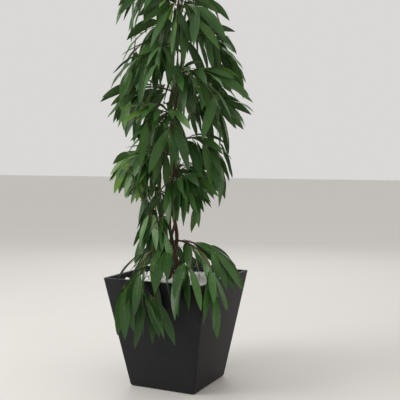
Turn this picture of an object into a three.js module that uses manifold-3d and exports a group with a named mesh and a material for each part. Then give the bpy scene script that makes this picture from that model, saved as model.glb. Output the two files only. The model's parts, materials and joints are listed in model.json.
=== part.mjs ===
import * as THREE from 'three';
import { mergeVertices } from 'three/addons/utils/BufferGeometryUtils.js';
import Module from 'manifold-3d';

// A narrow-leaf fig grown as a column on three twisted stems, in a square tapered planter.
// Millimetres, +Z up. The origin is the middle of the planter's flat underside.

// Planter and what fills it
const potHeight = 500;
const potTopSide = 500;
const potFootSide = 327;
const potWall = 25;
const potFloor = 30;
const potCorner = 9;
const soilTop = 462;
const pebbleBed = 474;
const pebbleBump = 10;
const pebbleCells = 11;
const stemHole = 46;
const clearance = 0.3;
const slopeAllowance = 1.2;

// Stems, twisted round a common line that leans a little to the right on its way up
const stemFoot = soilTop + clearance;
const stems = [
  { name: 'stem_leader', top: 1900, footRadius: 9.5, tipRadius: 3.6, turn: 200 },
  { name: 'stem_second', top: 1405, footRadius: 9, tipRadius: 3.6, turn: 320 },
  { name: 'stem_third', top: 1002, footRadius: 8.5, tipRadius: 3.8, turn: 80 },
];
const stemSides = 6;
const stemStep = 42;
const stemSunk = 30;
const twistPitch = 400;
const twistFoot = 18;
const twistTop = 11;
const flareGrowth = 0.4;
const flareHeight = 22;
const leanLow = -22;
const leanHigh = 10;
const leanFrom = 1200;
const leanTo = 1560;
const rightSide = 25.8;

// Boughs: a low ring that hangs over the rim, then a spiral up the column. One turn is left out
// where the column is open low on the right, and one where the second stem's own tip takes its
// place. A share is how much of the crown's reach a limb spans.
const lowRing = {
  places: [
    { azimuth: -36, height: 656, share: 1.48 },
    { azimuth: -94, height: 652, share: 1.2 },
    { azimuth: 76, height: 648, share: 1.2 },
    { azimuth: 122, height: 640, share: 1.24 },
  ],
  climb: 18,
  drop: 165,
  bend: 70,
  droop: 0.9,
  tipward: 0.8,
  leaves: 16,
};
const goldenAngle = 137.508;
const spiralTurns = 19;
const spiralAzimuth = -96;
const spiralHeight = 745;
const spiralStep = 59;
const spiralShare = 0.58;
const turnsLeftOut = [1, 12];
const spiral = {
  places: Array.from({ length: spiralTurns }, (_, i) => ({
    azimuth: spiralAzimuth + i * goldenAngle,
    height: spiralHeight + i * spiralStep,
    share: spiralShare,
  })).filter((_, i) => !turnsLeftOut.includes(i)),
  climb: 120,
  drop: 25,
  bend: 55,
  droop: 0,
  tipward: 1,
  leaves: 23,
};
const stemTip = { ...spiral, climb: 160, drop: -15 };
const leaderTip = { ...spiral, climb: 75, drop: -75 };
const tipShare = 0.6;
const leaderReach = 30;
const stemAbove = 30;
const reachBelow = 40;
const shortestReach = 120;
const fullReach = 200;
const fewestLeaves = 0.85;
const longReach = 230;
const shortDroop = 0.8;
const boughShare = 0.18;
const boughRadius = 6;
const boughTipRadius = 4.4;
const boughSides = 4;
const boughSteps = 3;
const limbSway = 16;

// Twigs and leaves. Pairs of numbers are the lowest and the highest that chance gives.
const massStemRadius = 4.6;
const massStemTip = 3.4;
const twigRadius = 2.5;
const twigTipRadius = 2.1;
const twigsOnStem = 3;
const twigFirst = 0.2;
const twigStep = 0.35;
const twigLength = [90, 144];
const twigSpread = [0.7, 1.3];
const twigLift = [0, 0.5];
const twigSag = 0.4;
const leafLength = [170, 260];
const leafShape = 0.26;
const leafKeel = 5;
const leafWidest = 0.42;
const leafRootWidth = 1.4;
const leafForward = [0.2, 1.5];
const leafOutward = [0, 1.1];
const leafDip = [-0.8, 0.3];
const leafCarry = [0.7, 1.8];
const leafRoll = [-1.15, 1.15];
const leafPlaces = [0.05, 0.98];
const leafTries = 1200;
const leafSeed = 536;

// How far the pieces keep from each other
const planterGap = 8;
const limbGap = 6;
const spaceGap = 10;
const hangDepths = [0, 80, 160];
const marksAtRoot = 3;
const marksNearRoot = 12;
const leafGapFirst = 34;
const leafGapLast = 8;

// How far the crown reaches from its middle line at each height: to the left, to the right, and
// to the front and the back
const crownReach = [
  [235, 290, 300, 430],
  [470, 300, 310, 440],
  [540, 290, 300, 400],
  [590, 240, 250, 265],
  [640, 215, 220, 225],
  [680, 195, 110, 195],
  [712, 205, 75, 205],
  [760, 205, 120, 205],
  [825, 235, 215, 235],
  [880, 315, 255, 290],
  [970, 320, 265, 290],
  [1110, 260, 260, 260],
  [1190, 310, 335, 310],
  [1250, 345, 390, 320],
  [1320, 365, 350, 330],
  [1430, 300, 310, 300],
  [1530, 240, 275, 260],
  [1640, 290, 285, 265],
  [1760, 275, 190, 225],
  [1880, 205, 165, 180],
  [1970, 130, 125, 130],
  [2040, 60, 60, 60],
];

const wasm = await Module();
wasm.setup();

const up = new THREE.Vector3(0, 0, 1);
const radians = THREE.MathUtils.degToRad;

// Random numbers between 0 and 1 that come out the same every time for the same seed
function seeded(seed) {
  let state = (seed * 7919 + 104729) % 2147483647;
  return () => {
    state = (state * 48271) % 2147483647;
    return state / 2147483647;
  };
}

const between = (random, low, high) => low + (high - low) * random();

function heading(azimuth) {
  const angle = radians(azimuth);
  return new THREE.Vector3(Math.cos(angle), Math.sin(angle), 0);
}

// Closed solid from a geometry, and back
function solidOf(geometry) {
  const bare = geometry.clone();
  bare.deleteAttribute('normal');
  bare.deleteAttribute('uv');
  const merged = mergeVertices(bare, 1e-4);
  return new wasm.Manifold(new wasm.Mesh({
    numProp: 3,
    vertProperties: new Float32Array(merged.attributes.position.array),
    triVerts: new Uint32Array(merged.index.array),
  }));
}

function geometryOf(solid) {
  const mesh = solid.getMesh();
  const geometry = new THREE.BufferGeometry();
  geometry.setAttribute('position', new THREE.BufferAttribute(mesh.vertProperties, 3));
  geometry.setIndex(new THREE.BufferAttribute(mesh.triVerts, 1));
  geometry.computeVertexNormals();
  return geometry;
}

// The biggest body of a solid, with loose scraps left out
function mainBody(solid) {
  const bodies = solid.decompose();
  return bodies.reduce((best, body) => (body.volume() > best.volume() ? body : best));
}

// A closed many-sided rod whose points are put in place by a function of the share of its
// length and of the two directions across it
function sweep(sides, steps, pointed, place) {
  const geometry = new THREE.CylinderGeometry(pointed ? 0 : 1, 1, 1, sides, steps);
  const position = geometry.attributes.position;
  for (let i = 0; i < position.count; i += 1) {
    const share = position.getY(i) + 0.5;
    const size = pointed ? Math.max(1 - share, 1e-6) : 1;
    const point = place(share, position.getX(i) / size, position.getZ(i) / size);
    position.setXYZ(i, point.x, point.y, point.z);
  }
  return solidOf(geometry);
}

// The directions across a path: side leans as near to the guide as it can
function frameOf(tangent, guide) {
  const side = guide.clone().addScaledVector(tangent, -guide.dot(tangent)).normalize();
  return { side, normal: new THREE.Vector3().crossVectors(side, tangent) };
}

const tangentAt = (path, t) => path(t + 0.01).sub(path(t - 0.01)).normalize();

// A tapering rod along a path
function rod(path, guide, from, to, radiusAt, sides, steps) {
  return sweep(sides, steps, false, (share, across, over) => {
    const t = from + (to - from) * share;
    const frame = frameOf(tangentAt(path, t), guide);
    return path(t)
      .addScaledVector(frame.side, across * radiusAt(share))
      .addScaledVector(frame.normal, over * radiusAt(share));
  });
}

const taper = (first, last) => (share) => first + (last - first) * share;

// Planter
const potSide = (height) => potFootSide + (potTopSide - potFootSide) * height / potHeight;

function roundedSquare(side, corner) {
  const half = side / 2 - corner;
  const shape = new THREE.Shape();
  shape.absarc(half, half, corner, 0, Math.PI / 2);
  shape.absarc(-half, half, corner, Math.PI / 2, Math.PI);
  shape.absarc(-half, -half, corner, Math.PI, 1.5 * Math.PI);
  shape.absarc(half, -half, corner, 1.5 * Math.PI, 2 * Math.PI);
  return shape;
}

// A rounded square block between two heights that follows the planter's slope, set in from it
function taperedBlock(bottom, top, inset, corner) {
  const topSide = potSide(top) - 2 * inset;
  const bottomSide = potSide(bottom) - 2 * inset;
  const geometry = new THREE.ExtrudeGeometry(roundedSquare(topSide, corner), {
    depth: top - bottom,
    bevelEnabled: false,
    curveSegments: 3,
  });
  const position = geometry.attributes.position;
  for (let i = 0; i < position.count; i += 1) {
    const share = position.getZ(i) / (top - bottom);
    const scale = (bottomSide + (topSide - bottomSide) * share) / topSide;
    position.setXYZ(i, position.getX(i) * scale, position.getY(i) * scale, position.getZ(i) + bottom);
  }
  return solidOf(geometry);
}

function planter() {
  const outside = taperedBlock(0, potHeight, 0, potCorner);
  const inside = taperedBlock(potFloor, potHeight + 1, potWall, potCorner / 2);
  return outside.subtract(inside);
}

const fillInset = potWall + clearance * slopeAllowance;

function soil() {
  return taperedBlock(potFloor + clearance, soilTop, fillInset, potCorner / 2);
}

// A bed of pebbles with an uneven top and a round hole for the stems
function pebbleLayer() {
  const random = seeded(5);
  const side = potSide(pebbleBed) - 2 * fillInset;
  const depth = pebbleBed - soilTop;
  const bed = new THREE.BoxGeometry(side, side, depth, pebbleCells, pebbleCells, 1);
  const merged = mergeVertices(bed.deleteAttribute('normal').deleteAttribute('uv'));
  const position = merged.attributes.position;
  for (let i = 0; i < position.count; i += 1) {
    if (position.getZ(i) > 0) {
      position.setZ(i, position.getZ(i) + pebbleBump * random());
    }
  }
  merged.translate(0, 0, pebbleBed - depth / 2);
  const room = taperedBlock(soilTop + clearance, potHeight, fillInset, potCorner / 2);
  const hole = new THREE.CylinderGeometry(stemHole, stemHole, 100, 20);
  hole.rotateX(Math.PI / 2);
  const foot = middleAt(stemFoot);
  hole.translate(foot.x, foot.y, pebbleBed);
  return solidOf(merged).intersect(room).subtract(solidOf(hole));
}

// Stems
function middleAt(height) {
  const share = THREE.MathUtils.smoothstep(height, leanFrom, leanTo);
  return heading(rightSide).multiplyScalar(leanLow + (leanHigh - leanLow) * share).setZ(height);
}

const turnAt = (stem, height) => stem.turn + 360 * (height - stemFoot) / twistPitch;

function stemAt(stem, height) {
  const share = (height - stemFoot) / (stems[0].top - stemFoot);
  const spread = twistFoot + (twistTop - twistFoot) * share;
  return middleAt(height).addScaledVector(heading(turnAt(stem, height)), spread);
}

function stemRadius(stem, height) {
  const above = Math.max(height - stemFoot, 0);
  const share = above / (stem.top - stemFoot);
  const flare = 1 + flareGrowth * Math.exp(-above / flareHeight);
  return (stem.footRadius + (stem.tipRadius - stem.footRadius) * share) * flare;
}

// The solid of a stem, made thicker by a margin where something is cut clear of it
function stemSolid(stem, margin) {
  const start = stemFoot - stemSunk;
  const finish = stem.top + margin;
  const heightAt = (share) => start + (finish - start) * share;
  const path = (share) => stemAt(stem, heightAt(share));
  const radiusAt = (share) => stemRadius(stem, heightAt(share)) + margin;
  const steps = Math.round((finish - start) / stemStep);
  const whole = rod(path, new THREE.Vector3(1, 0, 0), 0, 1, radiusAt, stemSides, steps);
  const ground = new THREE.BoxGeometry(potTopSide, potTopSide, 100).translate(0, 0, stemFoot - 50);
  return whole.subtract(solidOf(ground));
}

// How far the crown reaches at a height, on the side that an azimuth faces
function reachAt(azimuth, height) {
  const last = crownReach.length - 1;
  let row = 0;
  while (row < last - 1 && crownReach[row + 1][0] < height) row += 1;
  const [low, ...lowReach] = crownReach[row];
  const [high, ...highReach] = crownReach[row + 1];
  const share = THREE.MathUtils.clamp((height - low) / (high - low), 0, 1);
  const [left, right, deep] = lowReach.map((value, i) => value + (highReach[i] - value) * share);
  const across = Math.cos(radians(azimuth - rightSide));
  const side = across > 0 ? right : left;
  return side * across ** 2 + deep * (1 - across ** 2);
}

// Limbs: each goes out from a stem, arches over and hangs. A bough is its first part, and the
// rest is the stem of a mass of leaves. A limb that carries on from a stem's tip has no bough.
function limb(name, azimuth, root, start, wantedReach, zone, seed) {
  const random = seeded(seed);
  const reach = wantedReach * between(random, 0.97, 1.05);
  return {
    name,
    outward: heading(azimuth),
    root,
    start,
    reach,
    climb: zone.climb * between(random, 0.85, 1.15),
    drop: zone.drop * between(random, 0.95, 1.05),
    bend: radians(zone.bend),
    sway: limbSway * between(random, -1, 1) * Math.sign(start),
    droop: zone.droop + shortDroop * THREE.MathUtils.clamp((longReach - reach) / 100, 0, 1),
    tipward: zone.tipward,
    mostLeaves: Math.round(zone.leaves * THREE.MathUtils.clamp(reach / fullReach, fewestLeaves, 1)),
    seed,
  };
}

function ringOfLimbs(zone, prefix, firstSeed) {
  return zone.places.map(({ azimuth, height, share }, i) => {
    const name = `${prefix}_${String(i + 1).padStart(2, '0')}`;
    const standing = stems.filter((stem) => stem.top > height + stemAbove);
    const strength = (stem) => stemAt(stem, height).sub(middleAt(height)).dot(heading(azimuth));
    const stem = standing.reduce((best, other) => (strength(other) > strength(best) ? other : best));
    const reach = Math.max(reachAt(azimuth, height - reachBelow) * share, shortestReach);
    return limb(name, azimuth, stemAt(stem, height), boughShare, reach, zone, firstSeed + i);
  });
}

function tipLimbs(firstSeed) {
  return stems.map((stem, i) => {
    const leader = i === 0;
    const azimuth = turnAt(stem, stem.top);
    const reach = leader ? leaderReach : reachAt(azimuth, stem.top) * tipShare;
    const root = stemAt(stem, stem.top - 2);
    return limb(`${stem.name}_tip`, azimuth, root, 0, reach, leader ? leaderTip : stemTip, firstSeed + i);
  });
}

const sidewaysOf = (shape) => new THREE.Vector3().crossVectors(up, shape.outward);

function limbPath(shape) {
  return (t) => shape.root.clone()
    .addScaledVector(shape.outward, shape.reach * Math.sin(shape.bend * t) / Math.sin(shape.bend))
    .addScaledVector(sidewaysOf(shape), shape.sway * Math.sin(Math.PI * t))
    .addScaledVector(up, shape.climb * t - (shape.climb + shape.drop) * t * t);
}

const limbs = [
  ...ringOfLimbs(lowRing, 'low', 11),
  ...ringOfLimbs(spiral, 'crown', 31),
  ...tipLimbs(90),
];

// Each stem with a margin round it, to cut limbs clear of it
const stemRoom = stems
  .map((stem) => stemSolid(stem, clearance))
  .reduce((all, one) => all.add(one));

function bough(shape) {
  const radiusAt = taper(boughRadius, boughTipRadius);
  const whole = rod(limbPath(shape), sidewaysOf(shape), 0, shape.start, radiusAt, boughSides, boughSteps);
  return mainBody(whole.subtract(stemRoom));
}

// The space of each mass: the points that are nearer to its own limb, or to where leaves hang
// under that limb, than to any other's
const spaceMarks = limbs.map((shape) => {
  const path = limbPath(shape);
  return [0.25, 0.5, 0.75, 1].flatMap((t) => hangDepths.map((depth) => {
    const point = path(t);
    return point.setZ(point.z - depth);
  }));
});

const awayFrom = (marks, point) => Math.min(...marks.map((mark) => mark.distanceTo(point)));

function inOwnSpace(index, point) {
  const own = awayFrom(spaceMarks[index], point) + spaceGap;
  return spaceMarks.every((marks, i) => i === index || awayFrom(marks, point) > own);
}

function inCrown(point) {
  const radius = Math.hypot(point.x, point.y);
  const azimuth = THREE.MathUtils.radToDeg(Math.atan2(point.y, point.x));
  const lowest = crownReach[0][0];
  const highest = crownReach[crownReach.length - 1][0];
  return point.z > lowest && point.z < highest && radius < reachAt(azimuth, point.z);
}

function clearOfPlanter(point) {
  const away = Math.max(Math.abs(point.x), Math.abs(point.y)) - potSide(point.z) / 2;
  return point.z > potHeight + planterGap || away > planterGap;
}

function clearOfStems(point) {
  return stems.every((stem) => {
    if (point.z > stem.top + limbGap) return true;
    const apart = stemAt(stem, point.z).distanceTo(point);
    return apart > stemRadius(stem, point.z) + limbGap;
  });
}

// Points along every limb, which other limbs' twigs and leaves stay clear of
const limbMarks = limbs.flatMap((shape, index) => {
  const path = limbPath(shape);
  return Array.from({ length: 31 }, (_, i) => ({ index, point: path(i / 30) }));
});

function clearOfLimbs(point, ownIndex) {
  return limbMarks.every(({ index, point: mark }) => (
    index === ownIndex || mark.distanceTo(point) > boughRadius + limbGap
  ));
}

function hasRoom(index, point) {
  return inCrown(point) && clearOfPlanter(point) && clearOfStems(point)
    && inOwnSpace(index, point) && clearOfLimbs(point, index);
}

// A side twig that leaves the mass's stem and sags
function twigFrom(path, t, hand, random) {
  const root = path(t);
  const tangent = tangentAt(path, t);
  const sideways = new THREE.Vector3().crossVectors(up, tangent).normalize();
  const direction = tangent.clone()
    .addScaledVector(sideways, hand * between(random, ...twigSpread))
    .addScaledVector(up, between(random, ...twigLift))
    .normalize();
  const length = between(random, ...twigLength);
  const guide = new THREE.Vector3().crossVectors(up, direction).normalize();
  const twigPath = (share) => root.clone()
    .addScaledVector(direction, length * share)
    .addScaledVector(up, -twigSag * length * share * share);
  return { path: twigPath, guide, from: 0, to: 1 };
}

// A leaf: where it grows, which way it sets out, which way its tip hangs
function leafFrom(sprig, t, droop, random) {
  const tangent = tangentAt(sprig.path, t);
  const frame = frameOf(tangent, sprig.guide);
  const turn = between(random, 0, 2 * Math.PI);
  const root = sprig.path(t);
  const outward = new THREE.Vector3(root.x, root.y, 0).normalize();
  const start = tangent.clone().multiplyScalar(between(random, ...leafForward))
    .addScaledVector(outward, between(random, ...leafOutward))
    .addScaledVector(frame.side, Math.cos(turn))
    .addScaledVector(frame.normal, Math.sin(turn))
    .addScaledVector(up, between(random, ...leafDip) - droop)
    .normalize();
  const hang = start.clone().multiplyScalar(between(random, ...leafCarry)).sub(up).normalize();
  const facing = new THREE.Vector3().crossVectors(up, outward);
  const across = facing.applyAxisAngle(up, between(random, ...leafRoll));
  const length = between(random, ...leafLength);
  return { root, start, hang, across, length, width: length * leafShape };
}

function leafMiddle(leaf) {
  return leaf.root.clone().addScaledVector(leaf.start, leaf.length * leafWidest);
}

function leafTip(leaf) {
  return leafMiddle(leaf).addScaledVector(leaf.hang, leaf.length * (1 - leafWidest));
}

function leafSolid(leaf) {
  const rows = [
    { point: leaf.root, tangent: leaf.start, width: leafRootWidth, keel: leafRootWidth / 2 },
    {
      point: leafMiddle(leaf),
      tangent: leaf.start.clone().add(leaf.hang).normalize(),
      width: leaf.width,
      keel: leafKeel,
    },
    { point: leafTip(leaf), tangent: leaf.hang, width: 0, keel: 0 },
  ];
  return sweep(3, 2, true, (share, across, over) => {
    const row = rows[Math.round(share * 2)];
    const frame = frameOf(row.tangent, leaf.across);
    return row.point.clone()
      .addScaledVector(frame.side, across / Math.sqrt(3) * row.width)
      .addScaledVector(frame.normal, (over + 0.5) / 1.5 * row.keel);
  });
}

// Points spread over a leaf's blade, to try whether it has room
function leafMarks(leaf) {
  const middle = leafMiddle(leaf);
  const tip = leafTip(leaf);
  const marks = [];
  for (let i = 1; i <= 10; i += 1) {
    const share = i / 10;
    const early = share < leafWidest;
    const part = early ? share / leafWidest : (share - leafWidest) / (1 - leafWidest);
    const point = (early ? leaf.root : middle).clone().lerp(early ? middle : tip, part);
    const half = leaf.width / 2 * (early ? part : 1 - part);
    marks.push(point);
    marks.push(point.clone().addScaledVector(leaf.across, half));
    marks.push(point.clone().addScaledVector(leaf.across, -half));
  }
  return marks;
}

// Leaves tried here and there on a mass's twigs: they start well apart and then fill in, and
// none crosses another
function growLeaves(index, sprigs, random) {
  const { droop, tipward, mostLeaves } = limbs[index];
  const marksSoFar = [];
  const leaves = [];
  let together = null;
  for (let attempt = 0; attempt < leafTries && leaves.length < mostLeaves; attempt += 1) {
    const gap = leafGapFirst + (leafGapLast - leafGapFirst) * attempt / leafTries;
    const sprig = sprigs[Math.floor(random() * sprigs.length)];
    const along = THREE.MathUtils.lerp(...leafPlaces, random() ** tipward);
    const leaf = leafFrom(sprig, sprig.from + (sprig.to - sprig.from) * along, droop, random);
    const marks = leafMarks(leaf);
    const outer = marks.slice(marksNearRoot);
    const apart = outer.every((point) => marksSoFar.every((mark) => mark.distanceTo(point) > gap));
    if (!apart || !marks.slice(marksAtRoot).every((point) => hasRoom(index, point))) continue;
    const solid = leafSolid(leaf);
    if (together && !together.intersect(solid).isEmpty()) continue;
    together = together ? together.add(solid) : solid;
    marksSoFar.push(...outer);
    leaves.push(solid);
  }
  return leaves;
}

// One mass: its stem, side twigs and the leaves that have room
function growMass(shape, index) {
  const random = seeded(shape.seed + leafSeed);
  const path = limbPath(shape);
  const speed = path(shape.start + 0.01).distanceTo(path(shape.start)) / 0.01;
  const from = shape.start === 0 ? 0 : shape.start + clearance / speed;
  const stem = { path, guide: sidewaysOf(shape), from, to: 1 };
  const twigs = [];
  for (let i = 0; i < twigsOnStem; i += 1) {
    const t = from + (1 - from) * (twigFirst + twigStep * i);
    const twig = twigFrom(path, t, i % 2 === 0 ? 1 : -1, random);
    const marks = [0.3, 0.5, 0.7, 0.85, 1].map(twig.path);
    if (marks.every((point) => hasRoom(index, point))) twigs.push(twig);
  }
  const leaves = growLeaves(index, [stem, stem, ...twigs], random);
  const wood = [stem, ...twigs].map((sprig, i) => rod(
    sprig.path, sprig.guide, sprig.from, sprig.to,
    i === 0 ? taper(massStemRadius, massStemTip) : taper(twigRadius, twigTipRadius), 3, i === 0 ? 4 : 2,
  ));
  const fused = [...wood, ...leaves].reduce((sum, one) => sum.add(one));
  return mainBody(fused.subtract(stemRoom));
}

// Materials
const finish = (color, roughness) => (
  new THREE.MeshStandardMaterial({ color, roughness, metalness: 0 })
);
const potFinish = finish(0x2b2b2d, 0.62);
const soilFinish = finish(0x2e231b, 0.95);
const pebbleFinish = finish(0xd9d8d4, 0.7);
const barkFinish = finish(0x4b2a22, 0.8);
const leafFinish = finish(0x34482a, 0.4);

// The whole plant
const plant = new THREE.Group();

function addPiece(name, solid, material) {
  const mesh = new THREE.Mesh(geometryOf(solid), material.clone());
  mesh.name = name;
  plant.add(mesh);
}

addPiece('planter', planter(), potFinish);
addPiece('soil', soil(), soilFinish);
addPiece('pebble_layer', pebbleLayer(), pebbleFinish);
stems.forEach((stem) => addPiece(stem.name, stemSolid(stem, 0), barkFinish));
limbs.forEach((shape, index) => {
  if (shape.start > 0) addPiece(`${shape.name}_bough`, bough(shape), barkFinish);
  addPiece(`${shape.name}_leaves`, growMass(shape, index), leafFinish);
});

export default plant;
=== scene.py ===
import json
import math

import bmesh
import bpy
import numpy as np
from mathutils import Euler, Matrix, Vector, kdtree, noise

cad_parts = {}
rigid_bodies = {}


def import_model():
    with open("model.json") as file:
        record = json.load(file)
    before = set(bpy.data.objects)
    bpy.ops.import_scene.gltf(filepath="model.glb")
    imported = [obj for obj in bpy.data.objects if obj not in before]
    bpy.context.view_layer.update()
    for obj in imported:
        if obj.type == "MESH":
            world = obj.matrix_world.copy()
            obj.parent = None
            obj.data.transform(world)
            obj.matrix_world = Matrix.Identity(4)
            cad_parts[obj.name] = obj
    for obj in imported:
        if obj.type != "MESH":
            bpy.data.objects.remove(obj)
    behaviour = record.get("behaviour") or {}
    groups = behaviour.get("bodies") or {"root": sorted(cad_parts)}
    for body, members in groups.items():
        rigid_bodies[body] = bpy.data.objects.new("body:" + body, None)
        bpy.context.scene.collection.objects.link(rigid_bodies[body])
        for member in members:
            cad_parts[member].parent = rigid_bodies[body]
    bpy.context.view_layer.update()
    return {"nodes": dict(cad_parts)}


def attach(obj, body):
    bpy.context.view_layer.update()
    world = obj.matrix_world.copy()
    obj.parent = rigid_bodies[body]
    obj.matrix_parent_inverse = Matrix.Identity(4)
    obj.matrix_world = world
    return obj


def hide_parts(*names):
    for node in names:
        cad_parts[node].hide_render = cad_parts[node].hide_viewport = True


# Potted narrow-leaf fig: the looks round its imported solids.
# The plant is grown here again in millimetres, by the rule of its solids, and its meshes are
# brought to metres as they are finished.

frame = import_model()
toMetres = 0.001
print("frame loaded")

# Camera, floor and light
camera = {
    "place": (1.5575, -2.9843, 1.0399),
    "looksAlong": (-0.4349, 0.8986, -0.0587),
    "lens": 65.95,
    "sensor": 36,
}
studio = {
    "floorSide": 60,
    "floorDrop": 0.0005,
    "air": (1.0, 0.985, 0.965, 1),
    "airStrength": 0.7,
    "lamps": [
        # name, place, point it faces, side of the square, power, colour
        ("window_lamp", (-2.6, -2.6, 3.05), (0, 0, 1.05), 2.4, 112, (1, 0.985, 0.96)),
        ("back_lamp", (-1.2, 3.6, 3.2), (0, 0, 1.2), 3.6, 40, (0.97, 0.98, 1)),
        ("side_lamp", (3.6, 0.4, 1.7), (0, 0, 0.8), 2.2, 8, (1, 0.74, 0.52)),
    ],
}


def addObject(name, data):
    thing = bpy.data.objects.new(name, data)
    bpy.context.scene.collection.objects.link(thing)
    return thing


def facing(direction):
    return Vector(direction).to_track_quat("-Z", "Y").to_euler()


eye = addObject("camera", bpy.data.cameras.new("camera"))
eye.location = camera["place"]
eye.rotation_euler = facing(camera["looksAlong"])
eye.data.lens = camera["lens"]
eye.data.sensor_width = camera["sensor"]
bpy.context.scene.camera = eye

for name, place, target, side, power, colour in studio["lamps"]:
    lamp = addObject(name, bpy.data.lights.new(name, "AREA"))
    lamp.location = place
    lamp.rotation_euler = facing(Vector(target) - Vector(place))
    lamp.data.size, lamp.data.energy, lamp.data.color = side, power, colour

world = bpy.data.worlds.new("studio")
world.use_nodes = True
world.node_tree.nodes["Background"].inputs["Color"].default_value = studio["air"]
world.node_tree.nodes["Background"].inputs["Strength"].default_value = studio["airStrength"]
bpy.context.scene.world = world
bpy.context.scene.view_settings.view_transform = "Standard"
print("camera and light set")


# Materials: sums over a surface are written as plain expressions
class Wire:
    def __init__(self, paint, socket):
        self.paint, self.socket = paint, socket

    def maths(self, operation, other):
        return self.paint.node("ShaderNodeMath", {"operation": operation}, {0: self, 1: other})

    def __add__(self, other):
        return self.maths("ADD", other)

    def __mul__(self, other):
        return self.maths("MULTIPLY", other)

    __radd__, __rmul__ = __add__, __mul__


class Paint:
    def __init__(self, name, **fixed):
        self.material = bpy.data.materials.new(name)
        self.material.use_nodes = True
        self.tree = self.material.node_tree
        self.shader = self.tree.nodes["Principled BSDF"]
        self.place = self.node("ShaderNodeTexCoord", output="Object")
        for socket, value in fixed.items():
            self.shader.inputs[socket.replace("_", " ")].default_value = value

    def node(self, kind, settings=None, sockets=None, output=0):
        made = self.tree.nodes.new(kind)
        for key, value in (settings or {}).items():
            if key == "stops":
                for i, (position, shade) in enumerate(value):
                    stops = made.color_ramp.elements
                    stop = stops[i] if i < 2 else stops.new(position)
                    stop.position, stop.color = position, (shade, shade, shade, 1)
            else:
                setattr(made, key, value)
        for key, value in (sockets or {}).items():
            if isinstance(value, Wire):
                self.tree.links.new(value.socket, made.inputs[key])
            else:
                made.inputs[key].default_value = value
        return Wire(self, made.outputs[output])

    def feed(self, socket, wire):
        self.tree.links.new(wire.socket, self.shader.inputs[socket])

    def stretched(self, stretch):
        return self.node("ShaderNodeMapping", {}, {"Vector": self.place, "Scale": stretch})

    def grain(self, scale, detail, stretch=None):
        place = self.stretched(stretch) if stretch else self.place
        return self.node("ShaderNodeTexNoise", {}, {"Vector": place, "Scale": scale, "Detail": detail})

    def spots(self, scale, stretch=None):
        place = self.stretched(stretch) if stretch else self.place
        return self.node("ShaderNodeTexVoronoi", {}, {"Vector": place, "Scale": scale})

    def steps(self, wire, *stops):
        return self.node("ShaderNodeValToRGB", {"stops": stops}, {"Fac": wire})

    def mix(self, factor, first, second):
        return self.node("ShaderNodeMix", {"data_type": "RGBA"}, {0: factor, 6: first, 7: second}, 2)

    def relief(self, height, strength, distance):
        bump = {"Height": height, "Strength": strength, "Distance": distance}
        self.feed("Normal", self.node("ShaderNodeBump", {}, bump))


def shaded(colour, amount=1):
    return (*(min(part * amount, 1) for part in colour), 1)


# In each look a grain is its scale and detail and spots are a scale, with a stretch where they
# need one, a relief is its strength and depth, and a roughness its lowest value and its range
leafLook = {
    "gloss": 0.31,
    "mottle": (28, 3.0),
    "darkest": 0.78,
    "palest": 1.25,
    "sheen": (60, 2.0),
    "sheenRange": 0.16,
    "veins": (240, 2.0),
    "waves": (70, 1.0),
    "depth": 0.0006,
}


def leafPaint(name, colour, roughness, relief):
    paint = Paint(name, Specular_IOR_Level=leafLook["gloss"])
    dark, pale = shaded(colour, leafLook["darkest"]), shaded(colour, leafLook["palest"])
    paint.feed("Base Color", paint.mix(paint.grain(*leafLook["mottle"]), dark, pale))
    spread = leafLook["sheenRange"]
    paint.feed("Roughness", paint.grain(*leafLook["sheen"]) * spread + (roughness - spread / 2))
    surface = paint.grain(*leafLook["veins"]) + paint.grain(*leafLook["waves"])
    paint.relief(surface, relief, leafLook["depth"])
    return paint.material


barkLook = {
    "gloss": 0.3,
    "streaks": (90, 4.0, (1, 1, 0.22)),
    "patches": (14, 2.0, (1, 1, 0.5)),
    "patchShare": 0.5,
    "patchShade": 0.7,
    "dots": (260, (1, 1, 1.6)),
    "dotEdge": ((0.0, 1.0), (0.16, 0.0)),
    "dotShare": 0.7,
    "dotRise": 0.6,
    "roughness": (0.62, 0.2),
    "relief": (0.5, 0.0012),
}


def barkPaint(name, deep, pale, lenticel):
    paint = Paint(name, Specular_IOR_Level=barkLook["gloss"])
    streaks = paint.grain(*barkLook["streaks"])
    patches = paint.grain(*barkLook["patches"])
    wood = paint.mix(streaks, shaded(deep), shaded(pale))
    wood = paint.mix(patches * barkLook["patchShare"], wood, shaded(deep, barkLook["patchShade"]))
    dots = paint.steps(paint.spots(*barkLook["dots"]), *barkLook["dotEdge"])
    paint.feed("Base Color", paint.mix(dots * barkLook["dotShare"], wood, shaded(lenticel)))
    lowest, spread = barkLook["roughness"]
    paint.feed("Roughness", streaks * spread + lowest)
    paint.relief(streaks + dots * barkLook["dotRise"], *barkLook["relief"])
    return paint.material


pebbleLook = {
    "gloss": 0.4,
    "perStone": (30, 0.0),
    "stone": ((0.8, 0.795, 0.78), (0.95, 0.945, 0.935)),
    "veins": (55, 5.0),
    "veinEdge": ((0.5, 0.0), (0.68, 1.0)),
    "veinShare": 0.3,
    "veinColour": (0.66, 0.65, 0.63),
    "polish": (120, 2.0),
    "roughness": (0.42, 0.2),
    "pits": (420, 3.0),
    "relief": (0.25, 0.0006),
}


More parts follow.
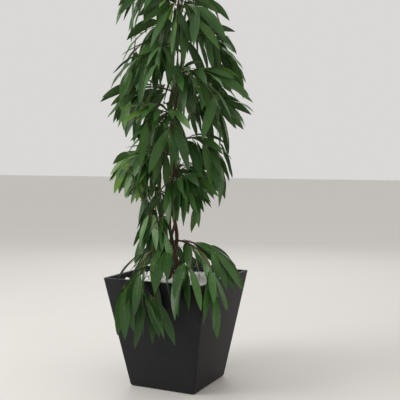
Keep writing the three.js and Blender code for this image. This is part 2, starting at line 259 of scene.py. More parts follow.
def pebblePaint():
    paint = Paint("pale_pebbles", Specular_IOR_Level=pebbleLook["gloss"])
    dark, pale = pebbleLook["stone"]
    stone = paint.mix(paint.grain(*pebbleLook["perStone"]), shaded(dark), shaded(pale))
    veins = paint.steps(paint.grain(*pebbleLook["veins"]), *pebbleLook["veinEdge"])
    veined = paint.mix(veins * pebbleLook["veinShare"], stone, shaded(pebbleLook["veinColour"]))
    paint.feed("Base Color", veined)
    lowest, spread = pebbleLook["roughness"]
    paint.feed("Roughness", paint.grain(*pebbleLook["polish"]) * spread + lowest)
    paint.relief(paint.grain(*pebbleLook["pits"]), *pebbleLook["relief"])
    return paint.material


planterLook = {
    "gloss": 0.15,
    "cloud": (3.5, 3.0),
    "shell": ((0.0145, 0.0145, 0.016), (0.0198, 0.0195, 0.021)),
    "dust": (60, 6.0),
    "dustEdge": ((0.58, 0.0), (0.8, 1.0)),
    "dustShare": 0.12,
    "dustColour": (0.11, 0.105, 0.1),
    "dustRoughness": 0.1,
    "roughness": (0.47, 0.12),
    "fine": (900, 2.0),
    "fineShare": 0.6,
    "coarse": (160, 1.0),
    "coarseShare": 0.4,
    "relief": (0.16, 0.0008),
}


def planterPaint():
    paint = Paint("matt_anthracite", Specular_IOR_Level=planterLook["gloss"])
    cloud = paint.grain(*planterLook["cloud"])
    dark, pale = planterLook["shell"]
    shell = paint.mix(cloud, shaded(dark), shaded(pale))
    dust = paint.steps(paint.grain(*planterLook["dust"]), *planterLook["dustEdge"])
    dusty = paint.mix(dust * planterLook["dustShare"], shell, shaded(planterLook["dustColour"]))
    paint.feed("Base Color", dusty)
    lowest, spread = planterLook["roughness"]
    paint.feed("Roughness", cloud * spread + dust * planterLook["dustRoughness"] + lowest)
    fine = paint.grain(*planterLook["fine"]) * planterLook["fineShare"]
    coarse = paint.grain(*planterLook["coarse"]) * planterLook["coarseShare"]
    paint.relief(fine + coarse, *planterLook["relief"])
    return paint.material


soilLook = {
    "gloss": 0.2,
    "crumbs": 170,
    "mix": ((0.03, 0.02, 0.013), (0.085, 0.06, 0.04)),
    "damp": (80, 2.0),
    "roughness": (0.86, 0.1),
    "relief": (0.8, 0.004),
}


def soilPaint():
    paint = Paint("potting_mix", Specular_IOR_Level=soilLook["gloss"])
    crumbs = paint.spots(soilLook["crumbs"])
    dark, pale = soilLook["mix"]
    paint.feed("Base Color", paint.mix(crumbs, shaded(dark), shaded(pale)))
    lowest, spread = soilLook["roughness"]
    paint.feed("Roughness", paint.grain(*soilLook["damp"]) * spread + lowest)
    paint.relief(crumbs, *soilLook["relief"])
    return paint.material


floorLook = {
    "gloss": 0.3,
    "cloud": (2.2, 2.0),
    "colour": (0.73, 0.71, 0.68),
    "darkest": 0.985,
    "palest": 1.015,
    "roughness": (0.5, 0.1),
}


def floorPaint():
    paint = Paint("pale_floor", Specular_IOR_Level=floorLook["gloss"])
    cloud = paint.grain(*floorLook["cloud"])
    dark = shaded(floorLook["colour"], floorLook["darkest"])
    pale = shaded(floorLook["colour"], floorLook["palest"])
    paint.feed("Base Color", paint.mix(cloud, dark, pale))
    lowest, spread = floorLook["roughness"]
    paint.feed("Roughness", cloud * spread + lowest)
    return paint.material


# Shades of the foliage, dealt out by spray: upper side, underside, share of the sprays
shades = {
    "deep": {"upper": (0.025, 0.074, 0.015), "under": (0.045, 0.1, 0.03), "share": 0.34},
    "green": {"upper": (0.042, 0.115, 0.023), "under": (0.064, 0.135, 0.038), "share": 0.38},
    "light": {"upper": (0.062, 0.148, 0.031), "under": (0.086, 0.165, 0.048), "share": 0.24},
    "young": {"upper": (0.1, 0.205, 0.03), "under": (0.12, 0.22, 0.055), "share": 0.04},
}
# Deep tone, pale tone and lenticels
barkColours = ((0.07, 0.033, 0.02), (0.15, 0.075, 0.046), (0.25, 0.16, 0.11))
twigColours = ((0.035, 0.045, 0.015), (0.08, 0.085, 0.032), (0.13, 0.12, 0.06))

floorMesh = bmesh.new()
bmesh.ops.create_grid(floorMesh, x_segments=1, y_segments=1, size=studio["floorSide"] / 2)
bmesh.ops.translate(floorMesh, verts=floorMesh.verts, vec=(0, 0, -studio["floorDrop"]))
floorData = bpy.data.meshes.new("floor")
floorMesh.to_mesh(floorData)
floorMesh.free()
floorData.materials.append(floorPaint())
addObject("floor", floorData)
print("materials mixed")


# The plan of the fig, in millimetres and degrees, with the same chance as its solids
chanceStep, chanceRound = 48271, 2147483647
seedStep, seedShift = 7919, 104729
up = np.array([0.0, 0.0, 1.0])

pot = {"height": 500, "topSide": 500, "footSide": 327, "wall": 25}
stems = {
    "stem_leader": {"top": 1900, "foot": 9.5, "tip": 3.6, "turn": 200},
    "stem_second": {"top": 1405, "foot": 9, "tip": 3.6, "turn": 320},
    "stem_third": {"top": 1002, "foot": 8.5, "tip": 3.8, "turn": 80},
}
twist = {"pitch": 400, "foot": 18, "top": 11, "stemFoot": 462.3, "flare": 0.4, "flareHeight": 22}
lean = {"low": -22, "high": 10, "from": 1200, "to": 1560, "rightSide": 25.8}

# Zones of limbs: each place is an azimuth, a height and a share of the crown's reach there
lowRing = {
    "places": [(-36, 656, 1.48), (-94, 652, 1.2), (76, 648, 1.2), (122, 640, 1.24)],
    "climb": 18,
    "drop": 165,
    "bend": 70,
    "droop": 0.9,
    "tipward": 0.8,
    "twigsFrom": 0.12,
    "leaves": 30,
    "leafSeed": 524,
}
spiralRow = {
    "azimuth": -96,
    "turn": 137.508,
    "height": 745,
    "rise": 59,
    "share": 0.58,
    "steps": 19,
    "without": (1, 12),
}
spiral = {
    "places": [
        (spiralRow["azimuth"] + i * spiralRow["turn"], spiralRow["height"] + i * spiralRow["rise"],
         spiralRow["share"])
        for i in range(spiralRow["steps"]) if i not in spiralRow["without"]
    ],
    "climb": 120,
    "drop": 25,
    "bend": 55,
    "droop": 0,
    "tipward": 1,
    "twigsFrom": 0,
    "leaves": 33,
    "leafSeed": 535,
}
stemTip = {**spiral, "climb": 160, "drop": -15}
leaderTip = {**spiral, "climb": 75, "drop": -75}
limbSeeds = {"low": 11, "crown": 31, "tip": 90}
limbRule = {
    "share": 0.6,
    "leavesFrom": 0.05,
    "leaderReach": 30,
    "stemAbove": 30,
    "tipBelow": 2,
    "reachBelow": 40,
    "shortest": 120,
    "long": 230,
    "longRange": 100,
    "shortDroop": 0.8,
    "boughShare": 0.18,
    "reachSpread": (0.97, 1.05),
    "climbSpread": (0.85, 1.15),
    "dropSpread": (0.95, 1.05),
    "sway": 16,
    "radii": (4.6, 1.7),
    "tipRadius": 3.7,
    "fullReach": 200,
    "fewest": 0.62,
}
twigRule = {
    "onStem": 7,
    "first": 0.02,
    "step": 0.15,
    "length": (90, 150),
    "spread": (0.7, 1.3),
    "lift": (0, 0.5),
    "sag": 0.4,
    "radii": (1.9, 1.2),
    "finePlaces": (0.35, 0.68),
    "fineLength": (60, 100),
    "fineRadii": (1.5, 1.0),
    "tested": (0.3, 0.5, 0.7, 0.85, 1),
}
leafRule = {
    "tries": 1300,
    "length": (180, 250),
    "shape": (0.172, 0.215),
    "widest": 0.42,
    "outward": (0, 1.1),
    "petiole": 0.085,
    "forward": (0.2, 1.5),
    "dip": (-0.95, 0.15),
    "carry": (0.65, 1.6),
    "roll": (0.3, 1.2),
    "places": (0.05, 0.98),
    "gapFirst": 26,
    "gapLast": 7,
    "marks": 10,
    "markTaper": 0.8,
}
room = {
    "planter": 6,
    "limb": 5,
    "spaceShared": 35,
    "farOff": 330,
    "hangPlaces": (0.25, 0.5, 0.75, 1),
    "hangDepths": (0, 80, 160),
    "limbMarks": 31,
}

# How far the crown reaches from its middle line at each height: to the left, to the right, and
# to the front and the back
crownReach = np.array([
    (235, 290, 300, 430), (470, 300, 310, 440), (540, 290, 300, 400), (590, 240, 250, 265),
    (640, 215, 220, 225), (680, 195, 110, 195), (712, 205, 75, 205), (760, 205, 120, 205),
    (825, 235, 215, 235), (880, 315, 255, 290), (970, 320, 265, 290), (1110, 260, 260, 260),
    (1190, 310, 335, 310), (1250, 345, 390, 320), (1320, 365, 350, 330), (1430, 300, 310, 300),
    (1530, 240, 275, 260), (1640, 290, 285, 265), (1760, 275, 190, 225), (1880, 205, 165, 180),
    (1970, 130, 125, 130), (2040, 60, 60, 60),
], float)


class Chance:
    def __init__(self, seed):
        self.state = (seed * seedStep + seedShift) % chanceRound

    def draw(self):
        self.state = self.state * chanceStep % chanceRound
        return self.state / chanceRound

    def between(self, low, high):
        return low + (high - low) * self.draw()


def heading(azimuth):
    angle = np.radians(azimuth)
    return np.stack([np.cos(angle), np.sin(angle), np.zeros_like(angle)], -1)


def unit(vector):
    return vector / np.linalg.norm(vector, axis=-1, keepdims=True)


def middleAt(height):
    share = np.clip((height - lean["from"]) / (lean["to"] - lean["from"]), 0, 1)
    share = share * share * (3 - 2 * share)
    out = lean["low"] + (lean["high"] - lean["low"]) * share
    return heading(lean["rightSide"]) * out[..., None] + up * height[..., None]


def stemAt(stem, height):
    height = np.asarray(height, float)
    above = height - twist["stemFoot"]
    share = above / (stems["stem_leader"]["top"] - twist["stemFoot"])
    spread = twist["foot"] + (twist["top"] - twist["foot"]) * share
    turn = stem["turn"] + 360 * above / twist["pitch"]
    return middleAt(height) + heading(turn) * spread[..., None]


def stemRadius(stem, height):
    above = np.maximum(height - twist["stemFoot"], 0)
    share = above / (stem["top"] - twist["stemFoot"])
    flare = 1 + twist["flare"] * np.exp(-above / twist["flareHeight"])
    return (stem["foot"] + (stem["tip"] - stem["foot"]) * share) * flare


def reachAt(azimuth, height):
    left, right, deep = (np.interp(height, crownReach[:, 0], crownReach[:, i]) for i in (1, 2, 3))
    across = np.cos(np.radians(azimuth - lean["rightSide"]))
    side = np.where(across > 0, right, left)
    return side * across ** 2 + deep * (1 - across ** 2)


def potSide(height):
    return pot["footSide"] + (pot["topSide"] - pot["footSide"]) * height / pot["height"]


# Limbs: each goes out from a stem, arches over and hangs
def limbFrom(name, azimuth, root, start, wantedReach, zone, seed):
    chance = Chance(seed)
    reach = float(wantedReach) * chance.between(*limbRule["reachSpread"])
    climb = zone["climb"] * chance.between(*limbRule["climbSpread"])
    drop = zone["drop"] * chance.between(*limbRule["dropSpread"])
    sway = limbRule["sway"] * chance.between(-1, 1) * (start > 0)
    short = min(max((limbRule["long"] - reach) / limbRule["longRange"], 0), 1)
    full = min(max(reach / limbRule["fullReach"], limbRule["fewest"]), 1)
    outward = heading(azimuth)
    sideways = np.cross(up, outward)
    bend = math.radians(zone["bend"])

    def path(t):
        t = np.asarray(t, float)[..., None]
        return (root + outward * reach * np.sin(bend * t) / math.sin(bend)
                + sideways * sway * np.sin(math.pi * t)
                + up * (climb * t - (climb + drop) * t * t))

    return {
        "name": name,
        "path": path,
        "guide": sideways,
        "from": start,
        "droop": zone["droop"] + limbRule["shortDroop"] * short,
        "tipward": zone["tipward"],
        "twigsFrom": zone["twigsFrom"],
        "leafSeed": seed + zone["leafSeed"],
        "leaves": round(zone["leaves"] * full),
        "seed": seed,
        "end": 0,
    }


def ringOfLimbs(zone, prefix):
    made = []
    for i, (azimuth, height, share) in enumerate(zone["places"]):
        standing = [s for s in stems.values() if s["top"] > height + limbRule["stemAbove"]]
        middle = middleAt(np.asarray(height, float))
        stem = max(standing, key=lambda s: (stemAt(s, height) - middle) @ heading(azimuth))
        reach = max(reachAt(azimuth, height - limbRule["reachBelow"]) * share, limbRule["shortest"])
        name = f"{prefix}_{i + 1:02d}"
        root = stemAt(stem, height)
        seed = limbSeeds[prefix] + i
        made.append(limbFrom(name, azimuth, root, limbRule["boughShare"], reach, zone, seed))
    return made


def tipLimbs():
    made = []
    for i, (name, stem) in enumerate(stems.items()):
        azimuth = stem["turn"] + 360 * (stem["top"] - twist["stemFoot"]) / twist["pitch"]
        reach = reachAt(azimuth, stem["top"]) * limbRule["share"] if i else limbRule["leaderReach"]
        root = stemAt(stem, stem["top"] - limbRule["tipBelow"])
        zone = stemTip if i else leaderTip
        made.append(limbFrom(f"{name}_tip", azimuth, root, 0, reach, zone, limbSeeds["tip"] + i))
    return made


limbs = ringOfLimbs(lowRing, "low") + ringOfLimbs(spiral, "crown") + tipLimbs()

# Where each mass hangs, and where every limb runs
spaceMarks = np.array([
    [limb["path"](t) - up * depth for t in room["hangPlaces"] for depth in room["hangDepths"]]
    for limb in limbs
])
limbMarks = np.array([limb["path"](np.linspace(0, 1, room["limbMarks"])) for limb in limbs])


def nearest(points, marks):
    return np.sqrt(((points[:, None] - marks) ** 2).sum(axis=-1).min(axis=1))


def inCrown(points):
    radius = np.hypot(points[:, 0], points[:, 1])
    azimuth = np.degrees(np.arctan2(points[:, 1], points[:, 0]))
    height = points[:, 2]
    within = (height > crownReach[0, 0]) & (height < crownReach[-1, 0])
    return (within & (radius < reachAt(azimuth, height))).all()


def clearOfPlanter(points):
    away = np.abs(points[:, :2]).max(axis=1) - potSide(points[:, 2]) / 2
    return ((points[:, 2] > pot["height"] + room["planter"]) | (away > room["planter"])).all()


def clearOfStems(points):
    for stem in stems.values():
        apart = np.linalg.norm(stemAt(stem, points[:, 2]) - points, axis=1)
        near = apart < stemRadius(stem, points[:, 2]) + room["limb"]
        if (near & (points[:, 2] < stem["top"] + room["limb"])).any():
            return False
    return True


# The tests of one mass: whether points have room in the crown and in its own part of it
def roomOf(index):
    own = spaceMarks[index]
    others = np.delete(spaceMarks, index, 0).reshape(-1, 3)
    otherLimbs = np.delete(limbMarks, index, 0).reshape(-1, 3)
    others = others[nearest(others, own) < room["farOff"]]
    otherLimbs = otherLimbs[nearest(otherLimbs, own) < room["farOff"]]

    def hasRoom(points):
        if not (inCrown(points) and clearOfPlanter(points) and clearOfStems(points)):
            return False
        if (nearest(points, otherLimbs) < limbRule["radii"][0] + room["limb"]).any():
            return False
        return (nearest(points, others) > nearest(points, own) - room["spaceShared"]).all()

    return hasRoom


# The direction of a path, measured over a short stretch of it
def tangentAt(path, t, stretch=0.01):
    return unit(path(t + stretch) - path(t - stretch))


# A twig that leaves its parent to one side and sags
def twigFrom(parent, t, hand, lengths, radii, chance):
    root, tangent = parent["path"](t), tangentAt(parent["path"], t)
    sideways = unit(np.cross(up, tangent))
    direction = unit(tangent + sideways * hand * chance.between(*twigRule["spread"])
                     + up * chance.between(*twigRule["lift"]))
    length = chance.between(*lengths)

    def path(share):
        share = np.asarray(share, float)[..., None]
        return root + direction * length * share - up * twigRule["sag"] * length * share * share

    return {"path": path, "guide": unit(np.cross(up, direction)), "from": 0, "radii": radii,
            "parent": parent, "at": t, "end": 0}


def sideTwigs(hasRoom, parent, places, lengths, radii, chance):
    made = []
    for i, place in enumerate(places):
        t = parent["from"] + (1 - parent["from"]) * place
        twig = twigFrom(parent, t, 1 if i % 2 == 0 else -1, lengths, radii, chance)
        if hasRoom(twig["path"](np.array(twigRule["tested"]))):
            made.append(twig)
    return made


# A leaf: where it grows, which way it sets out, which way its tip hangs
def leafFrom(sprig, t, droop, chance):
    tangent = tangentAt(sprig["path"], t)
    side = unit(sprig["guide"] - tangent * (sprig["guide"] @ tangent))
    normal = np.cross(side, tangent)
    turn = chance.between(0, 2 * math.pi)
    root = sprig["path"](t)
    azimuth = math.degrees(math.atan2(root[1], root[0]))
    start = unit(tangent * chance.between(*leafRule["forward"])
                 + heading(azimuth) * chance.between(*leafRule["outward"])
                 + side * math.cos(turn) + normal * math.sin(turn)
                 + up * (chance.between(*leafRule["dip"]) - droop))
    hang = unit(start * chance.between(*leafRule["carry"]) - up)
    roll = chance.between(*leafRule["roll"]) * (1 if chance.draw() < 0.5 else -1)
    length = chance.between(*leafRule["length"])
    middle = root + start * length * leafRule["widest"]
    return {
        "at": t,
        "root": root,
        "middle": middle,
        "tip": middle + hang * length * (1 - leafRule["widest"]),
        "across": heading(azimuth + 90 + math.degrees(roll)),
        "width": length * chance.between(*leafRule["shape"]),
        "shade": sprig["shade"],
    }


# Where a leaf's midline lies, and its direction, at shares of its length
def alongLeaf(leaf, share):
    share = np.asarray(share, float)[..., None]
    root, middle, tip = leaf["root"], leaf["middle"], leaf["tip"]
    point = root * (1 - share) ** 2 + middle * 2 * share * (1 - share) + tip * share ** 2
    return point, unit((middle - root) * (1 - share) + (tip - middle) * share)


markShares = np.linspace(1 / leafRule["marks"], 1, leafRule["marks"])
marksAtRoot, marksNearRoot = 1, 4


def leafMarks(leaf):
    points = alongLeaf(leaf, markShares)[0]
    half = leaf["width"] / 2 * np.sin(math.pi * markShares ** leafRule["markTaper"])[:, None]
    sideways = leaf["across"] * half
    return np.stack([points, points + sideways, points - sideways], 1)


def pickShade(chance):
    drawn = chance.draw()
    for name, shade in shades.items():
        drawn -= shade["share"]
        if drawn < 0:
            return name
    return "green"


# A twig is as long as it has leaves or finer twigs to carry
def reachTo(sprig, t):
    sprig["end"] = max(sprig["end"], t)
    if "parent" in sprig:
        reachTo(sprig["parent"], sprig["at"])


# The twigs of one mass: some on its limb, and finer ones on those
def growTwigs(stem, hasRoom, chance):
    places = [twigRule["first"] + twigRule["step"] * i for i in range(twigRule["onStem"])]
    places = [stem["twigsFrom"] + (1 - stem["twigsFrom"]) * place for place in places]
    twigs = sideTwigs(hasRoom, stem, places, twigRule["length"], twigRule["radii"], chance)
    for twig in list(twigs):
        twigs += sideTwigs(hasRoom, twig, twigRule["finePlaces"], twigRule["fineLength"],
                           twigRule["fineRadii"], chance)
    for twig in twigs:
        twig["shade"] = pickShade(chance)
    return twigs


def growMass(index, limb, taken):
    chance = Chance(limb["leafSeed"])
    leavesFrom = limbRule["leavesFrom"] if limb["from"] else 0
    stem = {**limb, "from": leavesFrom, "shade": pickShade(chance)}
    hasRoom = roomOf(index)
    twigs = growTwigs(stem, hasRoom, chance)
    sprigs = [stem, stem, *twigs]
    low, high = leafRule["places"]
    gapFirst, gapLast, tries = leafRule["gapFirst"], leafRule["gapLast"], leafRule["tries"]
    own, leaves = np.empty((0, 3)), []
    for attempt in range(tries):
        if len(leaves) == limb["leaves"]:
            break
        gap = gapFirst + (gapLast - gapFirst) * attempt / tries
        sprig = sprigs[int(chance.draw() * len(sprigs))]
        along = low + (high - low) * chance.draw() ** limb["tipward"]
        leaf = leafFrom(sprig, sprig["from"] + (1 - sprig["from"]) * along, limb["droop"], chance)
        marks = leafMarks(leaf)
        outer = marks[marksNearRoot:].reshape(-1, 3)
        if len(own) and (nearest(outer, own) < gap).any():
            continue
        if any(taken.find(point)[2] < gapLast for point in outer.tolist()):
            continue
        if not hasRoom(marks[marksAtRoot:].reshape(-1, 3)):
            continue
        own = np.concatenate([own, outer])
        leaves.append(leaf)
        reachTo(sprig, leaf["at"])
    limb["end"] = stem["end"]
    return [twig for twig in twigs if twig["end"]], leaves, own


def grow():
    twigs, leaves, marks = [], [], np.zeros((1, 3))
    for index, limb in enumerate(limbs):
        taken = kdtree.KDTree(len(marks))
        for i, point in enumerate(marks.tolist()):
            taken.insert(point, i)
        taken.balance()
        newTwigs, newLeaves, newMarks = growMass(index, limb, taken)
        twigs += newTwigs
        leaves += newLeaves
        marks = np.concatenate([marks, newMarks])
    return twigs, leaves


twigs, leaves = grow()
print("grown:", len(limbs), "limbs,", len(twigs), "twigs,", len(leaves), "leaves")


# Making meshes: a flat grid of faces is put in place by a function of its two shares
def gridTemplate(columns, rows, lowerFrom=None):
    made = bmesh.new()
    bmesh.ops.create_grid(made, x_segments=columns, y_segments=rows, size=0.5)
    bmesh.ops.translate(made, verts=made.verts, vec=(0.5, 0.5, 0))
    for face in made.faces:
        face.smooth = True
        if lowerFrom is not None and face.calc_center_median().x > lowerFrom:
            face.material_index = 1
    data = bpy.data.meshes.new("template")
    made.to_mesh(data)
    made.free()
    shares = np.array([vert.co[:2] for vert in data.vertices])
    return {"data": data, "round": shares[:, 0], "along": shares[:, 1]}


def addGrid(mesh, template, place):
    first = len(mesh.verts)
    mesh.from_mesh(template["data"])
    mesh.verts.ensure_lookup_table()
    for vert, point in zip(mesh.verts[first:], place(template["round"], template["along"])):
        vert.co = point


# Points nearer than this, in millimetres, become one
weldWithin = 0.004


def finishPiece(name, mesh, materials, nodes, sharpest=None):
    bmesh.ops.remove_doubles(mesh, verts=mesh.verts, dist=weldWithin)
    bmesh.ops.recalc_face_normals(mesh, faces=mesh.faces)
    bmesh.ops.scale(mesh, verts=mesh.verts, vec=(toMetres, toMetres, toMetres))
    data = bpy.data.meshes.new(name)
    mesh.to_mesh(data)
    mesh.free()
    for material in materials:
        data.materials.append(material)
    if sharpest:
        data.set_sharp_from_angle(angle=math.radians(sharpest))
    piece = addObject(name, data)
    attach(piece, "root")
    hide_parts(*nodes)
    print("made", name, len(data.polygons), "faces")


# Nothing at a rod's first and last ring and one between them, which closes its ends to points
def closedEnds(along, nearEnd=1e-6):
    return np.where((along < nearEnd) | (along > 1 - nearEnd), 0.0, 1.0)


# A round rod along a path, closed to a point inside its parent and at its tip
def rodPlace(path, guide, low, high, radiusAt):
    def place(around, along):
        t = low + (high - low) * along
        tangent = tangentAt(path, t)
        side = unit(guide - tangent * (tangent @ guide)[:, None])
        normal = np.cross(side, tangent)
        turn = 2 * math.pi * around
        across = side * np.cos(turn)[:, None] + normal * np.sin(turn)[:, None]
        return path(t) + across * (radiusAt(along) * closedEnds(along))[:, None]

    return place


massNodes = [f"{limb['name']}_leaves" for limb in limbs]
boughNodes = [f"{limb['name']}_bough" for limb in limbs if limb["from"] > 0]

# Stems with the bark's relief
stemBark = {
    "columns": 18,
    "rowStep": 8,
    "sunk": 12,
    "above": 3,
    "knotEvery": 46,
    "knotLength": 5,
    "knotRise": 0.09,
    "coarse": (1.6, 0.02),
    "fine": (4, 0.07),
    "fineShare": 0.5,
    "relief": 0.07,
}
barkMaterial = barkPaint("reddish_bark", *barkColours)


# Unevenness of the bark: a coarse and a fine grain, each a scale round the stem and one up it
def barkRoughness(stem, turn, height):
    (coarseRound, coarseUp), (fineRound, fineUp) = stemBark["coarse"], stemBark["fine"]
    x, y, shift = math.cos(turn), math.sin(turn), stem["turn"]
    coarse = noise.noise(Vector((x * coarseRound + shift, y * coarseRound, height * coarseUp)))
    fine = noise.noise(Vector((x * fineRound, y * fineRound + shift, height * fineUp)))
    return coarse + stemBark["fineShare"] * fine


def stemPlace(stem):
    low, high = twist["stemFoot"] - stemBark["sunk"], stem["top"] + stemBark["above"]

    def place(around, along):
        height = low + (high - low) * along
        turn = 2 * math.pi * around
        pastKnot = (height + stem["turn"]) % stemBark["knotEvery"]
        knots = np.exp(-(pastKnot / stemBark["knotLength"]) ** 2)
        rough = np.array([barkRoughness(stem, a, h) for a, h in zip(turn, height)])
        relief = 1 + knots * stemBark["knotRise"] + rough * stemBark["relief"]
        radius = stemRadius(stem, height) * relief * closedEnds(along)
        return stemAt(stem, height) + heading(np.degrees(turn)) * radius[:, None]

    return place


for name, stem in stems.items():
    mesh = bmesh.new()
    rows = round((stem["top"] - twist["stemFoot"]) / stemBark["rowStep"])
    addGrid(mesh, gridTemplate(stemBark["columns"], rows), stemPlace(stem))
    finishPiece(f"{name}_bark", mesh, [barkMaterial], [name])

# Boughs, and their run on through the masses
boughForm = {
    "columns": 9,
    "rows": 34,
    "taper": 0.8,
    "knots": 7,
    "knotShift": 0.37,
    "knotLength": 0.12,
    "knotRise": 0.12,
}


def boughPlace(limb):
    thick, thin = limbRule["radii"]
    if limb["from"] == 0:
        thick = limbRule["tipRadius"]

    def radiusAt(along):
        pastKnot = (along * boughForm["knots"] + limb["seed"] * boughForm["knotShift"]) % 1
        knots = np.exp(-(pastKnot / boughForm["knotLength"]) ** 2)
        plain = thick + (thin - thick) * along ** boughForm["taper"]
        return plain * (1 + boughForm["knotRise"] * knots)

    return rodPlace(limb["path"], limb["guide"], 0, limb["end"], radiusAt)


mesh = bmesh.new()
template = gridTemplate(boughForm["columns"], boughForm["rows"])
for limb in limbs:
    addGrid(mesh, template, boughPlace(limb))
finishPiece("boughs_bark", mesh, [barkMaterial], boughNodes)

# Twigs
twigForm = {"columns": 6, "rows": 8}


def twigPlace(twig):
    thick, thin = twig["radii"]
    return rodPlace(twig["path"], twig["guide"], 0, twig["end"],
                    lambda along: thick + (thin - thick) * along)


mesh = bmesh.new()
template = gridTemplate(twigForm["columns"], twigForm["rows"])
for twig in twigs:
    addGrid(mesh, template, twigPlace(twig))
finishPiece("twigs", mesh, [barkPaint("green_brown_twig", *twigColours)], massNodes)

# Buds: the slim sheath at the tip of each limb and twig, with its roughness and relief
budForm = {
    "seed": 77,
    "columns": 6,
    "rows": 4,
    "length": (16, 28),
    "sunk": 2,
    "radius": 1.9,
    "taper": 0.7,
    "point": 0.25,
    "colour": (0.2, 0.2, 0.075),
    "finish": (0.45, 0.1),
}


def budPlace(sprig, length):
    end = np.asarray(sprig["end"])
    tip, direction = sprig["path"](end), tangentAt(sprig["path"], end)

    def path(t):
        return tip + direction * (t[..., None] * length - budForm["sunk"])

    def radiusAt(along):
        return budForm["radius"] * (1 - along) ** budForm["taper"] + budForm["point"]

    return rodPlace(path, sprig["guide"], 0, 1, radiusAt)


budChance = Chance(budForm["seed"])
mesh = bmesh.new()
template = gridTemplate(budForm["columns"], budForm["rows"])
for sprig in limbs + twigs:
    addGrid(mesh, template, budPlace(sprig, budChance.between(*budForm["length"])))
budMaterial = leafPaint("bud_sheath", budForm["colour"], *budForm["finish"])
finishPiece("buds", mesh, [budMaterial], massNodes)

# Leaves: closed thin blades with a fold along the midrib, and each side's roughness and relief
leafForm = {
    "seed": 909,
    "columns": 4,
    "rows": 11,
    "thickness": 0.55,
    "slim": 0.95,
    "baseTaper": 0.5,
    "tipTaper": 0.35,
    "fold": (0.08, 0.28),
    "foldCurve": 1.3,
    "twist": (-0.5, 0.5),
    "flatAt": 0.3,
    "wave": (0.3, 1.8),
    "waves": (1.2, 2.6),
    "finishes": {"upper": (0.38, 0.18), "under": (0.58, 0.3)},
    "sharpest": 32,
}
undersideFrom = 0.5  # the share of the way round a blade where its underside begins


def bladePlace(leaf, chance):
    fold = chance.between(*leafForm["fold"])
    turned = chance.between(*leafForm["twist"])
    wave = chance.between(*leafForm["wave"])
    waves = chance.between(*leafForm["waves"])
    phase = chance.between(0, 2 * math.pi)
    petiole = leafRule["petiole"]

    def place(around, along):
        point, tangent = alongLeaf(leaf, petiole + (1 - petiole) * along)
        flatSide = unit(leaf["across"] - tangent * (tangent @ leaf["across"])[:, None])
        flatNormal = np.cross(tangent, flatSide)
        angle = (turned * (along - leafForm["flatAt"]))[:, None]
        side = flatSide * np.cos(angle) + flatNormal * np.sin(angle)
        normal = flatNormal * np.cos(angle) - flatSide * np.sin(angle)
        upper = around <= undersideFrom
        across = np.where(upper, around * 4 - 1, 3 - around * 4)
        taper = leafForm["baseTaper"] + leafForm["tipTaper"] * along
        half = leaf["width"] / 2 * leafForm["slim"] * np.sin(math.pi * np.clip(along, 0, 1)) ** taper
        folded = half * fold * np.abs(across) ** leafForm["foldCurve"]
        ripple = np.sin(2 * math.pi * waves * along + phase * np.sign(across))
        waved = wave * np.abs(across) ** 2 * ripple * (half > 1)
        thick = leafForm["thickness"] * (1 - across ** 2) * np.where(upper, 1, -1) * np.minimum(half, 1)
        return point + side * (across * half)[:, None] + normal * (folded + waved + thick)[:, None]

    return place


blade = gridTemplate(leafForm["columns"], leafForm["rows"], undersideFrom)
leafChance = Chance(leafForm["seed"])
for shadeName, shade in shades.items():
    mesh = bmesh.new()
    for leaf in leaves:
        if leaf["shade"] == shadeName:
            addGrid(mesh, blade, bladePlace(leaf, leafChance))
    paints = [leafPaint(f"leaf_{shadeName}_{face}", shade[face], *finish)
              for face, finish in leafForm["finishes"].items()]
    finishPiece(f"leaves_{shadeName}", mesh, paints, massNodes, leafForm["sharpest"])

# Ribs: a pale rod along each leaf's midline, with its roughness and relief
ribForm = {
    "columns": 3,
    "rows": 7,
    "radii": (1.7, 0.75),
    "thinning": 1.3,
    "end": 0.97,
    "colour": (0.22, 0.29, 0.1),
    "finish": (0.5, 0.1),
}


def ribPlace(leaf):
    thick, thin = ribForm["radii"]

    def path(t):
        return alongLeaf(leaf, t)[0]

    return rodPlace(path, leaf["across"], 0, ribForm["end"],
                    lambda along: thick + (thin - thick) * np.minimum(along * ribForm["thinning"], 1))


mesh = bmesh.new()
template = gridTemplate(ribForm["columns"], ribForm["rows"])
for leaf in leaves:
    addGrid(mesh, template, ribPlace(leaf))
ribMaterial = leafPaint("pale_rib", ribForm["colour"], *ribForm["finish"])
finishPiece("leaf_ribs", mesh, [ribMaterial], massNodes)

# Pebbles: two loose layers on the soil
pebbleForm = {
    "seed": 5,
    "columns": 8,
    "rows": 6,
    "wallGap": 5,
    "step": 25,
    "jitter": 5,
    "layerShift": 1 / 3,
    "across": (10, 14.5),
    "flat": (0.55, 0.8),
    "tilt": (-0.4, 0.4),
    "spin": (0, 6.28),
    "longer": (0.8, 1.1),
    "heights": (467, 477),
    "lift": (-1, 1.5),
    "stemShare": 0.8,
    "uneven": 0.2,
    "unevenGrain": 1.2,
}


def pebbleTemplate():
    ball = bmesh.new()
    bmesh.ops.create_uvsphere(ball, u_segments=pebbleForm["columns"], v_segments=pebbleForm["rows"],
                              radius=1)
    for face in ball.faces:
        face.smooth = True
    data = bpy.data.meshes.new("template")
    ball.to_mesh(data)
    ball.free()
    return data


def onStem(place, size):
    for stem in stems.values():
        apart = np.hypot(*(stemAt(stem, place[2]) - place)[:2])
        if apart < stemRadius(stem, place[2]) + size * pebbleForm["stemShare"]:
            return True
    return False


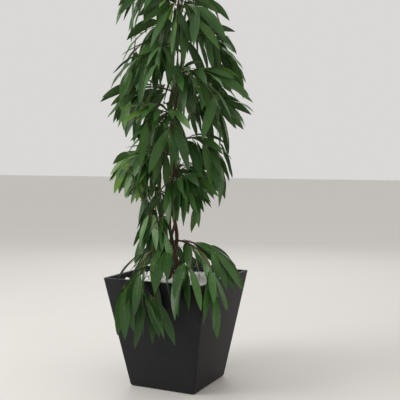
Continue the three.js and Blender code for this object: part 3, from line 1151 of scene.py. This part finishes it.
def addPebble(mesh, template, place, turn, size):
    shape = Matrix.LocRotScale(place, turn, size)
    first = len(mesh.verts)
    mesh.from_mesh(template)
    mesh.verts.ensure_lookup_table()
    for vert in mesh.verts[first:]:
        bulge = 1 + pebbleForm["uneven"] * noise.noise(vert.co * pebbleForm["unevenGrain"] + place)
        vert.co = shape @ (vert.co * bulge)


def layPebbles(mesh):
    chance = Chance(pebbleForm["seed"])
    template = pebbleTemplate()
    step, jitter = pebbleForm["step"], pebbleForm["jitter"]
    count = math.ceil(pot["topSide"] / step)
    for layer, height in enumerate(pebbleForm["heights"]):
        half = potSide(height) / 2 - pot["wall"] - pebbleForm["wallGap"]
        for row, column in ((row, column) for row in range(count) for column in range(count)):
            size = chance.between(*pebbleForm["across"])
            x = (column + (row + layer) % 2 / 2 - count / 2) * step + chance.between(-1, 1) * jitter
            rowPlace = row - count / 2 + layer * pebbleForm["layerShift"]
            y = rowPlace * step + chance.between(-1, 1) * jitter
            flat = chance.between(*pebbleForm["flat"])
            turn = Euler([chance.between(*pebbleForm[key]) for key in ("tilt", "tilt", "spin")])
            longer = chance.between(*pebbleForm["longer"])
            place = (x, y, height + chance.between(*pebbleForm["lift"]))
            if max(abs(x), abs(y)) > half - size or onStem(place, size):
                continue
            addPebble(mesh, template, Vector(place), turn, Vector((size, size * longer, size * flat)))


mesh = bmesh.new()
layPebbles(mesh)
finishPiece("pebbles", mesh, [pebblePaint()], ["pebble_layer"])

# Planter: a square tapered shell with a flat rim and softened edges
shellForm = {
    "floor": 30,
    "corner": 13,
    "innerCorner": 5,
    "cornerSegments": 6,
    "rimRound": 2.2,
    "footRound": 9,
    "roundSegments": 3,
    "sharpest": 40,
}


def roundEdges(mesh, edges, radius, segments):
    bmesh.ops.bevel(mesh, geom=list(edges), offset=radius, offset_type="OFFSET", segments=segments,
                    profile=0.5, affect="EDGES", material=-1)


def planterMesh():
    uprightFrom, footBelow, levelFrom = 100, 1, 0.99
    mesh = bmesh.new()
    bmesh.ops.create_cube(mesh, size=1)
    for vert in mesh.verts:
        high = vert.co.z > 0
        side = pot["topSide"] if high else pot["footSide"]
        vert.co = (vert.co.x * side, vert.co.y * side, pot["height"] if high else 0)
    rim = max(mesh.faces, key=lambda face: face.calc_center_median().z)
    bmesh.ops.inset_individual(mesh, faces=[rim], thickness=pot["wall"])
    inner = bmesh.ops.extrude_discrete_faces(mesh, faces=[rim])["faces"][0]
    innerHalf = (potSide(shellForm["floor"]) - 2 * pot["wall"]) / 2
    for vert in inner.verts:
        x, y = (math.copysign(innerHalf, part) for part in vert.co[:2])
        vert.co = (x, y, shellForm["floor"])
    upright = [edge for edge in mesh.edges
               if abs(edge.verts[0].co.z - edge.verts[1].co.z) > uprightFrom]
    outer = [edge for edge in upright if min(vert.co.z for vert in edge.verts) < footBelow]
    inside = [edge for edge in upright if edge not in outer]
    roundEdges(mesh, outer, shellForm["corner"], shellForm["cornerSegments"])
    roundEdges(mesh, inside, shellForm["innerCorner"], shellForm["cornerSegments"])
    mesh.normal_update()
    level = [face for face in mesh.faces if abs(face.normal.z) > levelFrom]
    edges = {edge for face in level for edge in face.edges
             if any(other not in level for other in edge.link_faces)}
    foot = {edge for edge in edges if edge.verts[0].co.z < footBelow}
    higher = edges - foot
    roundEdges(mesh, foot, shellForm["footRound"], shellForm["roundSegments"])
    roundEdges(mesh, higher, shellForm["rimRound"], shellForm["roundSegments"])
    for face in mesh.faces:
        face.smooth = True
    return mesh


finishPiece("planter_shell", planterMesh(), [planterPaint()], ["planter"], shellForm["sharpest"])

soilNode = frame["nodes"]["soil"]
soilNode.data.materials.clear()
soilNode.data.materials.append(soilPaint())
